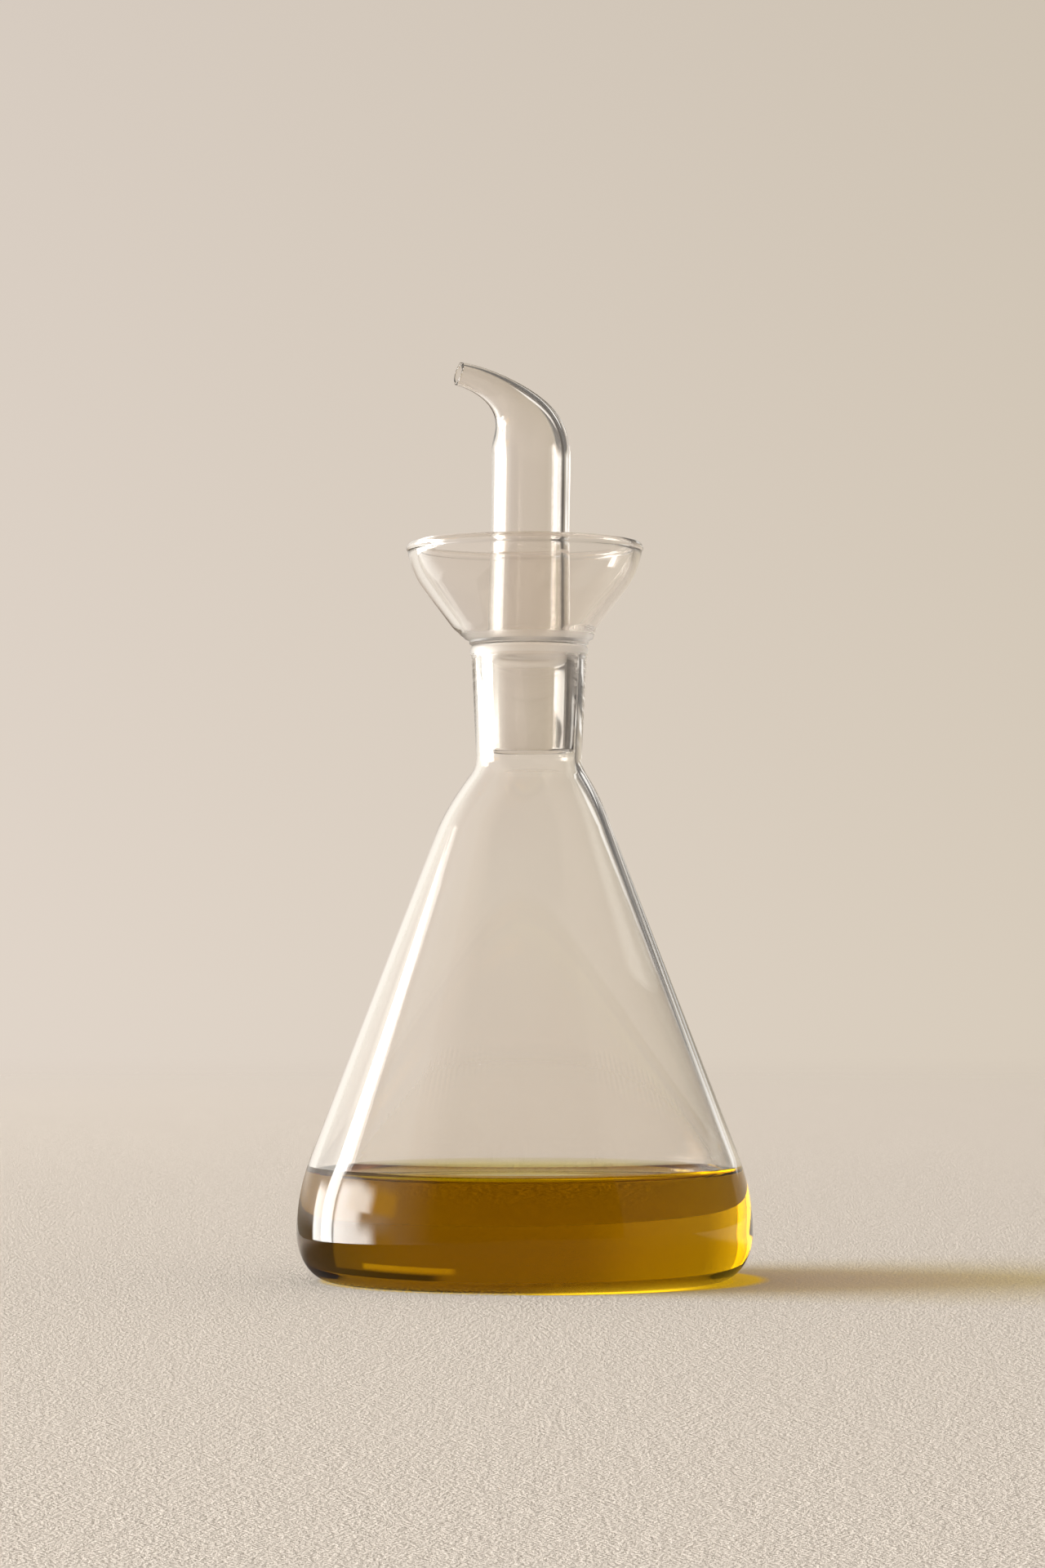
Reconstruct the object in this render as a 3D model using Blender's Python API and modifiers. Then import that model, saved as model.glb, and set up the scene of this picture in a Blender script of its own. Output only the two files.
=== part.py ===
"""Conical glass oil cruet: the flask, the pourer that sits in its neck, and the oil.

The cruet stands on z = 0 about the Z axis, with the spout towards -X. The neck was
blown a little off the body's axis, and the pourer's joint and tube follow it.
"""
import math

import bmesh
import bpy

# Round pieces
TURN_STEPS = 40              # facets round a turned piece
TUBE_SIDES = 28              # facets round the spout's tube
MERGE = 0.00001
GAP = 0.0003                 # clearance between neighbouring pieces

# Flask, outside
BODY_RADIUS = 0.0425
WIDEST_HEIGHT = 0.0075
BASE_RADIUS = 0.0353         # edge of the flat that it stands on
HEEL_ARC = 0.047             # from the widest ring up into the cone
CONE_ANGLE = 21.1            # degrees from the axis
SHOULDER_HEIGHT = 0.084
SHOULDER_ARC = 0.048
SHOULDER_ANGLE = 35.0
NECK_FILLET = 0.0055
NECK_TAPER = 0.05            # growth of the radius for each metre up, as on a 1:10 joint
NECK_TOP = 0.1159
LIP_PROUD = 0.00022
LIP_TOP = 0.1183
LIP_ROUND = 0.0006

# Glass thickness of the flask at given heights of its outside
FLASK_WALL = ((0.0, 0.0024), (0.0075, 0.0016), (0.0250, 0.0015), (0.0840, 0.0014),
              (0.0970, 0.00125), (0.1200, 0.00125))

# Neck off the body's axis
NECK_OFFSET = 0.00085
OFFSET_LOW = 0.082
OFFSET_HIGH = 0.097

# Pourer: joint, flange and drip funnel
JOINT_BOTTOM = 0.0983
JOINT_WALL = 0.0016
FLANGE_RADIUS = 0.0112
FLANGE_BOTTOM = 0.1186
FLANGE_TOP = 0.1194
FUNNEL_START = (0.0120, 0.1197)
FUNNEL_ANGLE = 37.0
FUNNEL_TRUE = 0.1218         # from here up the funnel is on the body's axis
FUNNEL_STRAIGHT_TOP = 0.1292
FUNNEL_ARC = 0.0147
FUNNEL_RIM_ANGLE = 8.0
FUNNEL_WALL = 0.0016
FUNNEL_FLOOR = 0.1199
BEAD_RADIUS = 0.00098        # rolled edge of the funnel

# Pourer: tube and spout
TUBE_RADIUS_LOW = 0.00765
TUBE_RADIUS = 0.00737
TUBE_WALL = 0.0015
TUBE_WAIST = 0.139           # where the tube reaches its even radius
TUBE_TOP_OFFSET = 0.0013     # off the body's axis at the bend
BEND_START = 0.1534
BEND_HANDLE = 0.0138         # how far the bend still heads straight up
SPOUT_REACH = 0.01456        # from the tube's axis to the middle of the tip
SPOUT_TIP = 0.1690
SPOUT_RISE = 14.6            # degrees above level at the tip
TIP_HANDLE = 0.0008
NARROWING_SHARE = 0.31       # share of the bend at which the tube is half drawn down
NARROWING_POWER = 2.9
BEND_RINGS = 14
TIP_RADIUS = 0.00216
TIP_WALL = 0.0005

# Oil
OIL_LEVEL = 0.0193
MENISCUS_RISE = 0.0018
MENISCUS_LENGTH = 0.0017     # distance over which the meniscus dies away


def smoothstep(low, high, value):
    """Zero below low, one above high, and smooth between."""
    share = min(1.0, max(0.0, (value - low) / (high - low)))
    return share * share * (3.0 - 2.0 * share)


def blend(stations, value):
    """Read a value between (position, value) stations."""
    for (low, first), (high, second) in zip(stations, stations[1:]):
        if value <= high:
            share = max(0.0, (value - low) / (high - low))
            return first + (second - first) * share
    return stations[-1][1]


def arc(centre, radius, start, end, count):
    """Points on an arc in the (radius, height) plane, angles in degrees from level."""
    points = []
    for index in range(count + 1):
        angle = math.radians(start + (end - start) * index / count)
        points.append((centre[0] + radius * math.cos(angle),
                       centre[1] + radius * math.sin(angle)))
    return points


def offset_line(points, thickness):
    """Move a line that runs up the outside of a wall inwards by thickness(height)."""
    moved = []
    for index, (radius, height) in enumerate(points):
        before = points[max(0, index - 1)]
        after = points[min(len(points) - 1, index + 1)]
        run = (after[0] - before[0], after[1] - before[1])
        length = math.hypot(*run)
        wall = thickness(height)
        moved.append((radius - run[1] / length * wall, height + run[0] / length * wall))
    return moved


def flask_wall_line():
    """Outside of the flask from the edge of its base up to the neck's top."""
    heel = []
    for index in range(8):
        angle = math.radians(90.0 * index / 8)
        heel.append((BASE_RADIUS + (BODY_RADIUS - BASE_RADIUS) * math.sin(angle),
                     WIDEST_HEIGHT * (1.0 - math.cos(angle))))

    body_centre = (BODY_RADIUS - HEEL_ARC, WIDEST_HEIGHT)
    body = arc(body_centre, HEEL_ARC, 0.0, CONE_ANGLE, 4)

    slope = math.tan(math.radians(CONE_ANGLE))
    cone_radius = body[-1][0] - slope * (SHOULDER_HEIGHT - body[-1][1])
    cone = math.radians(CONE_ANGLE)
    shoulder_centre = (cone_radius - SHOULDER_ARC * math.cos(cone),
                       SHOULDER_HEIGHT - SHOULDER_ARC * math.sin(cone))
    shoulder = arc(shoulder_centre, SHOULDER_ARC, CONE_ANGLE, SHOULDER_ANGLE, 4)

    steep = math.radians(SHOULDER_ANGLE)
    fillet_centre = (shoulder[-1][0] + NECK_FILLET * math.cos(steep),
                     shoulder[-1][1] + NECK_FILLET * math.sin(steep))
    taper_angle = math.degrees(math.atan(NECK_TAPER))
    fillet = arc(fillet_centre, NECK_FILLET, 180.0 + SHOULDER_ANGLE, 180.0 - taper_angle, 4)

    neck = (fillet[-1][0] + NECK_TAPER * (NECK_TOP - fillet[-1][1]), NECK_TOP)
    return heel + body + shoulder + fillet[1:] + [neck]


def flask_inner_line(clearance=0.0):
    """Inside of the flask from the edge of its floor up, moved in by a clearance."""
    line = [(0.0, 0.0)] + flask_wall_line()
    return offset_line(line, lambda height: blend(FLASK_WALL, height) + clearance)[1:]


def radius_at(line, height):
    """Radius of a line of (radius, height) points at a height."""
    return blend([(point[1], point[0]) for point in line], height)


def neck_axis(height):
    """How far the flask's axis has moved towards +X at a height."""
    return NECK_OFFSET * smoothstep(OFFSET_LOW, OFFSET_HIGH, height)


def funnel_axis(height):
    """The pourer's joint follows the neck, and its funnel is back on the body's axis."""
    return NECK_OFFSET * (1.0 - smoothstep(FLANGE_TOP, FUNNEL_TRUE, height))


def turned(name, profile, axis_offset, collection):
    """Turn a profile about Z and move each ring by axis_offset(height) along X."""
    mesh = bpy.data.meshes.new(name + "_profile")
    edges = [(index, index + 1) for index in range(len(profile) - 1)]
    mesh.from_pydata([(radius, 0.0, height) for radius, height in profile], edges, [])
    lathe = bpy.data.objects.new(name + "_profile", mesh)
    bpy.context.scene.collection.objects.link(lathe)
    screw = lathe.modifiers.new("turn", "SCREW")
    screw.axis = "Z"
    screw.steps = TURN_STEPS
    screw.render_steps = TURN_STEPS
    screw.use_merge_vertices = True
    screw.merge_threshold = MERGE

    evaluated = lathe.evaluated_get(bpy.context.evaluated_depsgraph_get())
    solid = bpy.data.meshes.new_from_object(evaluated)
    bpy.data.objects.remove(lathe)
    for vertex in solid.vertices:
        vertex.co.x += axis_offset(vertex.co.z)
    solid.name = name
    solid.shade_smooth()
    solid.set_sharp_from_angle(angle=math.radians(40.0))
    piece = bpy.data.objects.new(name, solid)
    collection.objects.link(piece)
    return piece


def swept_tube(name, stations, collection):
    """A round tube through (x, z, radius) stations, with closed ends."""
    curve = bpy.data.curves.new(name, "CURVE")
    curve.dimensions = "3D"
    curve.bevel_depth = 1.0
    curve.bevel_resolution = (TUBE_SIDES - 4) // 2
    curve.use_fill_caps = True
    spline = curve.splines.new("POLY")
    spline.points.add(len(stations) - 1)
    for point, (along, height, radius) in zip(spline.points, stations):
        point.co = (along, 0.0, height, 1.0)
        point.radius = radius
    guide = bpy.data.objects.new(name + "_path", curve)
    bpy.context.scene.collection.objects.link(guide)

    evaluated = guide.evaluated_get(bpy.context.evaluated_depsgraph_get())
    mesh = bpy.data.meshes.new_from_object(evaluated)
    welded = bmesh.new()
    welded.from_mesh(mesh)
    bmesh.ops.remove_doubles(welded, verts=welded.verts, dist=MERGE)
    bmesh.ops.recalc_face_normals(welded, faces=welded.faces)
    welded.to_mesh(mesh)
    welded.free()
    mesh.shade_smooth()
    tube = bpy.data.objects.new(name, mesh)
    tube.matrix_world = guide.matrix_world
    bpy.data.objects.remove(guide)
    collection.objects.link(tube)
    tube.hide_render = True
    tube.display_type = "WIRE"
    return tube


def drawn_down(share):
    """One at the bend's start and zero at the tip, as the tube is drawn down."""
    def fade(value):
        return 1.0 / (1.0 + (value / NARROWING_SHARE) ** NARROWING_POWER)
    return (fade(share) - fade(1.0)) / (1.0 - fade(1.0))


def spout_stations(straight, wall_root, wall_tip):
    """Stations of the tube: straight ones, then the bend down to the spout's tip.

    The walls are taken off the outer radius, so a bore uses the same path.
    """
    tip = (TUBE_TOP_OFFSET - SPOUT_REACH, SPOUT_TIP)
    rise = math.radians(SPOUT_RISE)
    corners = ((TUBE_TOP_OFFSET, BEND_START),
               (TUBE_TOP_OFFSET, BEND_START + BEND_HANDLE),
               (tip[0] + TIP_HANDLE * math.cos(rise), tip[1] - TIP_HANDLE * math.sin(rise)),
               tip)
    stations = list(straight)
    for index in range(BEND_RINGS + 1):
        share = index / BEND_RINGS
        rest = 1.0 - share
        weights = (rest ** 3, 3 * share * rest ** 2, 3 * share ** 2 * rest, share ** 3)
        along = sum(weight * corner[0] for weight, corner in zip(weights, corners))
        height = sum(weight * corner[1] for weight, corner in zip(weights, corners))
        radius = TIP_RADIUS + (TUBE_RADIUS - TIP_RADIUS) * drawn_down(share)
        wall = wall_tip + (wall_root - wall_tip) * drawn_down(share)
        stations.append((along, height, radius - wall))
    return stations


def glass(name, tint):
    """Clear glass with a slight tint of its own."""
    material = bpy.data.materials.new(name)
    material.use_nodes = True
    shader = material.node_tree.nodes["Principled BSDF"]
    shader.inputs["Base Color"].default_value = (*tint, 1.0)
    shader.inputs["Roughness"].default_value = 0.02
    shader.inputs["Metallic"].default_value = 0.0
    shader.inputs["Transmission Weight"].default_value = 1.0
    shader.inputs["IOR"].default_value = 1.47
    return material


def make_flask(collection):
    """Blown flask: cone, heel, short shoulder, tapered neck and a low lip."""
    outside = flask_wall_line()
    inside = flask_inner_line()
    lip_radius = outside[-1][0] + LIP_PROUD
    lip_round = arc((lip_radius - LIP_ROUND, LIP_TOP - LIP_ROUND), LIP_ROUND, 90.0, 0.0, 3)
    lip = lip_round + [(lip_radius, NECK_TOP + 0.0006)]
    mouth_radius = inside[-1][0] + NECK_TAPER * (LIP_TOP - inside[-1][1])
    mouth_round = arc((mouth_radius + LIP_ROUND, LIP_TOP - LIP_ROUND), LIP_ROUND,
                      180.0, 90.0, 2)
    profile = ([(0.0, inside[0][1])] + inside + mouth_round + lip
               + outside[::-1] + [(0.0, 0.0)])
    flask = turned("flask", profile, neck_axis, collection)
    flask.data.materials.append(glass("flask glass", (0.93, 0.95, 0.93)))
    return flask


def joint_radius(height):
    """Outer radius of the pourer's joint, a clearance inside the flask's neck."""
    inside = flask_inner_line()
    return inside[-1][0] + NECK_TAPER * (height - inside[-1][1]) - GAP


def make_pourer(collection, guides):
    """Pourer: hollow joint, flange, drip funnel with a beaded rim, and the spout."""
    angle = math.radians(FUNNEL_ANGLE)
    straight = (FUNNEL_START[0] + math.tan(angle) * (FUNNEL_STRAIGHT_TOP - FUNNEL_START[1]),
                FUNNEL_STRAIGHT_TOP)
    arc_centre = (straight[0] - FUNNEL_ARC * math.cos(angle),
                  straight[1] + FUNNEL_ARC * math.sin(angle))
    curved = arc(arc_centre, FUNNEL_ARC, -FUNNEL_ANGLE, -FUNNEL_RIM_ANGLE, 5)
    true_radius = FUNNEL_START[0] + math.tan(angle) * (FUNNEL_TRUE - FUNNEL_START[1])
    outside = [FUNNEL_START, (true_radius, FUNNEL_TRUE)] + curved
    inside = offset_line(outside, lambda height: FUNNEL_WALL)

    edge = (0.5 * (outside[-1][0] + inside[-1][0]), 0.5 * (outside[-1][1] + inside[-1][1]))
    tilt = math.radians(FUNNEL_RIM_ANGLE)
    half_wall = 0.5 * FUNNEL_WALL
    rise = math.sqrt(BEAD_RADIUS ** 2 - half_wall ** 2)
    bead_centre = (edge[0] + rise * math.sin(tilt), edge[1] + rise * math.cos(tilt))
    join = math.degrees(math.atan2(rise, half_wall))
    bead = arc(bead_centre, BEAD_RADIUS, 180.0 + join - FUNNEL_RIM_ANGLE,
               -join - FUNNEL_RIM_ANGLE, 9)[1:-1]

    cup = [(0.0, FUNNEL_FLOOR + 0.0008), (TUBE_RADIUS_LOW - 0.0008, FUNNEL_FLOOR + 0.0008),
           (TUBE_RADIUS_LOW + 0.0007, FUNNEL_FLOOR),
           (inside[0][0] - 0.0006, FUNNEL_FLOOR + 0.0002)]
    flange = [(FLANGE_RADIUS, FLANGE_TOP), (FLANGE_RADIUS, FLANGE_BOTTOM + 0.0003),
              (FLANGE_RADIUS - 0.0003, FLANGE_BOTTOM)]
    joint = [(joint_radius(FLANGE_BOTTOM) + 0.0002, FLANGE_BOTTOM),
             (joint_radius(FLANGE_BOTTOM - 0.0004), FLANGE_BOTTOM - 0.0004),
             (joint_radius(JOINT_BOTTOM), JOINT_BOTTOM + 0.0004),
             (joint_radius(JOINT_BOTTOM) - 0.0004, JOINT_BOTTOM), (0.0, JOINT_BOTTOM)]
    profile = cup + inside + bead + outside[::-1] + flange + joint
    pourer = turned("pourer", profile, funnel_axis, collection)

    tube_foot = (NECK_OFFSET, FUNNEL_FLOOR - 0.0009, TUBE_RADIUS_LOW)
    tube_low = (NECK_OFFSET, FUNNEL_FLOOR + 0.004, TUBE_RADIUS_LOW)
    tube_waist = (0.5 * (NECK_OFFSET + TUBE_TOP_OFFSET), TUBE_WAIST, TUBE_RADIUS)
    tube = swept_tube("spout_tube", spout_stations((tube_foot, tube_low, tube_waist), 0.0, 0.0),
                      guides)

    joint_bore_low = joint_radius(JOINT_BOTTOM) - JOINT_WALL
    joint_bore_high = joint_radius(FLANGE_BOTTOM) - JOINT_WALL - 0.0004
    bore_path = ((NECK_OFFSET, JOINT_BOTTOM - 0.002, joint_bore_low),
                 (NECK_OFFSET, JOINT_BOTTOM, joint_bore_low),
                 (NECK_OFFSET, FLANGE_BOTTOM - 0.001, joint_bore_high),
                 (NECK_OFFSET, FUNNEL_FLOOR + 0.001, TUBE_RADIUS_LOW - TUBE_WALL),
                 (tube_waist[0], TUBE_WAIST, TUBE_RADIUS - TUBE_WALL))
    stations = spout_stations(bore_path, TUBE_WALL, TIP_WALL)
    spout_rise = math.radians(SPOUT_RISE)
    mouth = stations[-1]
    stations.append((mouth[0] - 0.002 * math.cos(spout_rise),
                     mouth[1] + 0.002 * math.sin(spout_rise), mouth[2]))
    bore = swept_tube("spout_bore", stations, guides)

    for label, operation, other in (("fuse", "UNION", tube), ("bore", "DIFFERENCE", bore)):
        modifier = pourer.modifiers.new(label, "BOOLEAN")
        modifier.operation = operation
        modifier.solver = "EXACT"
        modifier.object = other
    pourer.data.materials.append(glass("pourer glass", (0.94, 0.95, 0.94)))
    return pourer


def make_oil(collection):
    """Oil up to its level, with the meniscus that climbs the wall."""
    wall = flask_inner_line(GAP)
    contact_height = OIL_LEVEL + MENISCUS_RISE
    contact = (radius_at(wall, contact_height), contact_height)
    side = [point for point in wall if point[1] < contact_height - 0.0005]
    surface = []
    for index in range(1, 6):
        inward = 4.0 * MENISCUS_LENGTH * (index / 5) ** 1.6
        surface.append((contact[0] - inward,
                        OIL_LEVEL + MENISCUS_RISE * math.exp(-inward / MENISCUS_LENGTH)))
    surface[-1] = (surface[-1][0], OIL_LEVEL)
    profile = ([(0.0, OIL_LEVEL)] + surface[::-1] + [contact] + side[::-1]
               + [(0.0, side[0][1])])
    oil = turned("oil", profile, neck_axis, collection)
    material = bpy.data.materials.new("olive oil")
    material.use_nodes = True
    shader = material.node_tree.nodes["Principled BSDF"]
    shader.inputs["Base Color"].default_value = (0.62, 0.36, 0.02, 1.0)
    shader.inputs["Roughness"].default_value = 0.05
    shader.inputs["Metallic"].default_value = 0.0
    shader.inputs["IOR"].default_value = 1.467
    oil.data.materials.append(material)
    return oil


def main():
    """Build the cruet in its own collection."""
    for old in list(bpy.data.objects):
        bpy.data.objects.remove(old)
    cruet = bpy.data.collections.new("oil_cruet")
    guides = bpy.data.collections.new("cutters")
    bpy.context.scene.collection.children.link(cruet)
    bpy.context.scene.collection.children.link(guides)
    make_flask(cruet)
    make_pourer(cruet, guides)
    make_oil(cruet)


main()
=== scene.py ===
"""Looks of a conical glass oil cruet: clear blown glass, olive oil and a soft studio.

The cruet stands on z = 0 about the Z axis, in metres, with its spout towards -X. The
neck was blown a little off the body's axis, and the pourer's joint and tube follow it.
"""
import logging
import math
from dataclasses import dataclass
from enum import Enum
from typing import Callable, Sequence

import bmesh
import bpy
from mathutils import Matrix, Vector


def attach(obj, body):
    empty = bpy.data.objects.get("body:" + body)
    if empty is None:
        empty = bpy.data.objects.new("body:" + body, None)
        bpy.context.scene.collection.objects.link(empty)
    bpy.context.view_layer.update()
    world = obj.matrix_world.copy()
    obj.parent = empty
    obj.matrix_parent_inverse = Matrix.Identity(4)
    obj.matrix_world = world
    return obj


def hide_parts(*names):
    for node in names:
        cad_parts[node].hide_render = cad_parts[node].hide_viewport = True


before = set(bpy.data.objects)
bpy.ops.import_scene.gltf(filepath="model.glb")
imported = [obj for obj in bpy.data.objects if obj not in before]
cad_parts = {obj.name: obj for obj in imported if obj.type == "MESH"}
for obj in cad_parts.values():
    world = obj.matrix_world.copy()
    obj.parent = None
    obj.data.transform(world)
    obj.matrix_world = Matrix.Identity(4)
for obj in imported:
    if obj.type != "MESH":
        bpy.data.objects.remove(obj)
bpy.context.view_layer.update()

log = logging.getLogger("oil_cruet")

Point = tuple[float, float]
Colour = tuple[float, float, float]

FACING = -20.0               # degrees about Z, from +Y, that the camera looks
FULL_TURN = 360.0            # degrees
SIDES = 192                  # facets round every turned or drawn surface
SHARP_ANGLE = 50.0           # degrees between faces above which their edge stays sharp
WETTED = "wetted"            # point attribute, 1 where oil lies against glass
NUMBER = "NodeSocketFloat"   # kind of the shader groups' sockets


def smoothstep(low: float, high: float, value: float) -> float:
    """Zero below low, one above high, and smooth between.

    Args:
        low: Where the step starts.
        high: Where the step ends.
        value: What is tested.

    Returns:
        A share from 0 to 1.
    """
    share = min(1.0, max(0.0, (value - low) / (high - low)))
    return share * share * (3.0 - 2.0 * share)


def blend(stations: Sequence[Point], value: float) -> float:
    """Read a value between (position, value) stations.

    Args:
        stations: Pairs of position and value, in rising order of position.
        value: The position to read at.

    Returns:
        The value there, and the last one past the end.
    """
    for (low, first), (high, second) in zip(stations, stations[1:]):
        if value <= high:
            share = max(0.0, (value - low) / (high - low))
            return first + (second - first) * share
    return stations[-1][1]


def radius_at(line: Sequence[Point], height: float) -> float:
    """Radius of a rising line of (radius, height) at a height."""
    return blend([(up, radius) for radius, up in line], height)


def arc(centre: Point, radius: float, start: float, end: float, count: int) -> list[Point]:
    """Points on an arc in the (radius, height) plane.

    Args:
        centre: The arc's centre.
        radius: The arc's radius.
        start: First angle, in degrees from level.
        end: Last angle, in degrees from level.
        count: Number of steps.

    Returns:
        count + 1 points.
    """
    points = []
    for index in range(count + 1):
        angle = math.radians(start + (end - start) * index / count)
        points.append((centre[0] + radius * math.cos(angle),
                       centre[1] + radius * math.sin(angle)))
    return points


def offset_line(points: Sequence[Point], thickness: Callable[[float], float]) -> list[Point]:
    """Move a line that runs up the outside of a wall inwards.

    Args:
        points: The outside line, from the bottom up.
        thickness: The wall's thickness at a height.

    Returns:
        The inside line.
    """
    moved = []
    for index, (radius, height) in enumerate(points):
        before = points[max(0, index - 1)]
        after = points[min(len(points) - 1, index + 1)]
        run = (after[0] - before[0], after[1] - before[1])
        length = math.hypot(*run)
        wall = thickness(height)
        moved.append((radius - run[1] / length * wall, height + run[0] / length * wall))
    return moved


@dataclass(frozen=True)
class Ring:
    """One circle of a turned or drawn surface.

    Its centre is at (along, 0, height). It lies level, or leans about the Y axis.
    """

    along: float
    height: float
    radius: float
    lean: float = 0.0
    wetted: float = 0.0


@dataclass
class RingSurface:
    """A closed surface through rings, with a pole at each end or joined end to end."""

    name: str
    rings: list[Ring]
    joined: bool = False

    def build(self) -> bpy.types.Object:
        """Make the mesh, with smooth faces and the wetted attribute.

        Returns:
            The new object, in the scene's own collection.
        """
        surface = bmesh.new()
        wet = surface.verts.layers.float.new(WETTED)
        loops = [self._loop(surface, wet, ring) for ring in self.rings]
        pairs = list(zip(loops, loops[1:]))
        if self.joined:
            pairs.append((loops[-1], loops[0]))
        for lower, upper in pairs:
            for side in range(SIDES):
                after = (side + 1) % SIDES
                surface.faces.new((lower[side], lower[after], upper[after], upper[side]))
        if not self.joined:
            self._close(surface, wet, loops[0], self.rings[0])
            self._close(surface, wet, loops[-1], self.rings[-1])
        bmesh.ops.recalc_face_normals(surface, faces=surface.faces)
        for face in surface.faces:
            if all(vertex[wet] > 0.5 for vertex in face.verts):
                face.material_index = 1

        mesh = bpy.data.meshes.new(self.name)
        surface.to_mesh(mesh)
        surface.free()
        mesh.shade_smooth()
        mesh.set_sharp_from_angle(angle=math.radians(SHARP_ANGLE))
        piece = bpy.data.objects.new(self.name, mesh)
        bpy.context.scene.collection.objects.link(piece)
        return piece

    @staticmethod
    def _loop(surface: bmesh.types.BMesh, wet: bmesh.types.BMLayerItem,
              ring: Ring) -> list[bmesh.types.BMVert]:
        """Add one ring's points.

        Args:
            surface: The mesh that is being made.
            wet: Its wetted layer.
            ring: The ring to add.

        Returns:
            The ring's points in order.
        """
        points = []
        for side in range(SIDES):
            angle = math.tau * side / SIDES
            across = ring.radius * math.cos(angle)
            place = (ring.along + across * math.cos(ring.lean),
                     ring.radius * math.sin(angle),
                     ring.height + across * math.sin(ring.lean))
            point = surface.verts.new(place)
            point[wet] = ring.wetted
            points.append(point)
        return points

    @staticmethod
    def _close(surface: bmesh.types.BMesh, wet: bmesh.types.BMLayerItem,
               loop: list[bmesh.types.BMVert], ring: Ring) -> None:
        """Close an end ring with a fan to its centre.

        Args:
            surface: The mesh that is being made.
            wet: Its wetted layer.
            loop: The end ring's points.
            ring: The end ring.
        """
        pole = surface.verts.new((ring.along, 0.0, ring.height))
        pole[wet] = ring.wetted
        for side in range(SIDES):
            surface.faces.new((loop[side], loop[(side + 1) % SIDES], pole))


@dataclass(frozen=True)
class OilLevel:
    """Where the oil's surface stands and how it climbs the wall."""

    level: float = 0.0187
    climb_length: float = 0.00189    # set by the oil's surface tension and weight
    contact_slope: float = 72.0      # degrees that the slope falls by, from the wall in
    last_slope: float = 0.4
    crowding: float = 1.6            # crowds the steps where the surface is nearly level
    steps: int = 26

    @property
    def contact(self) -> float:
        """Height of the line where the oil meets the glass."""
        return self.meniscus()[0][1]

    def meniscus(self) -> list[Point]:
        """Profile of the surface: way in from the wall and height, from the wall in.

        Returns:
            Points of (way in, height).
        """
        profile = []
        for index in range(self.steps + 1):
            slope = (self.contact_slope * (1.0 - index / self.steps) ** self.crowding
                     + self.last_slope)
            half = 0.5 * math.radians(slope)
            way = math.acosh(1.0 / math.sin(half)) - 2.0 * math.cos(half)
            profile.append((way * self.climb_length,
                            self.level + 2.0 * self.climb_length * math.sin(half)))
        return [(way - profile[0][0], height) for way, height in profile]


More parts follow.
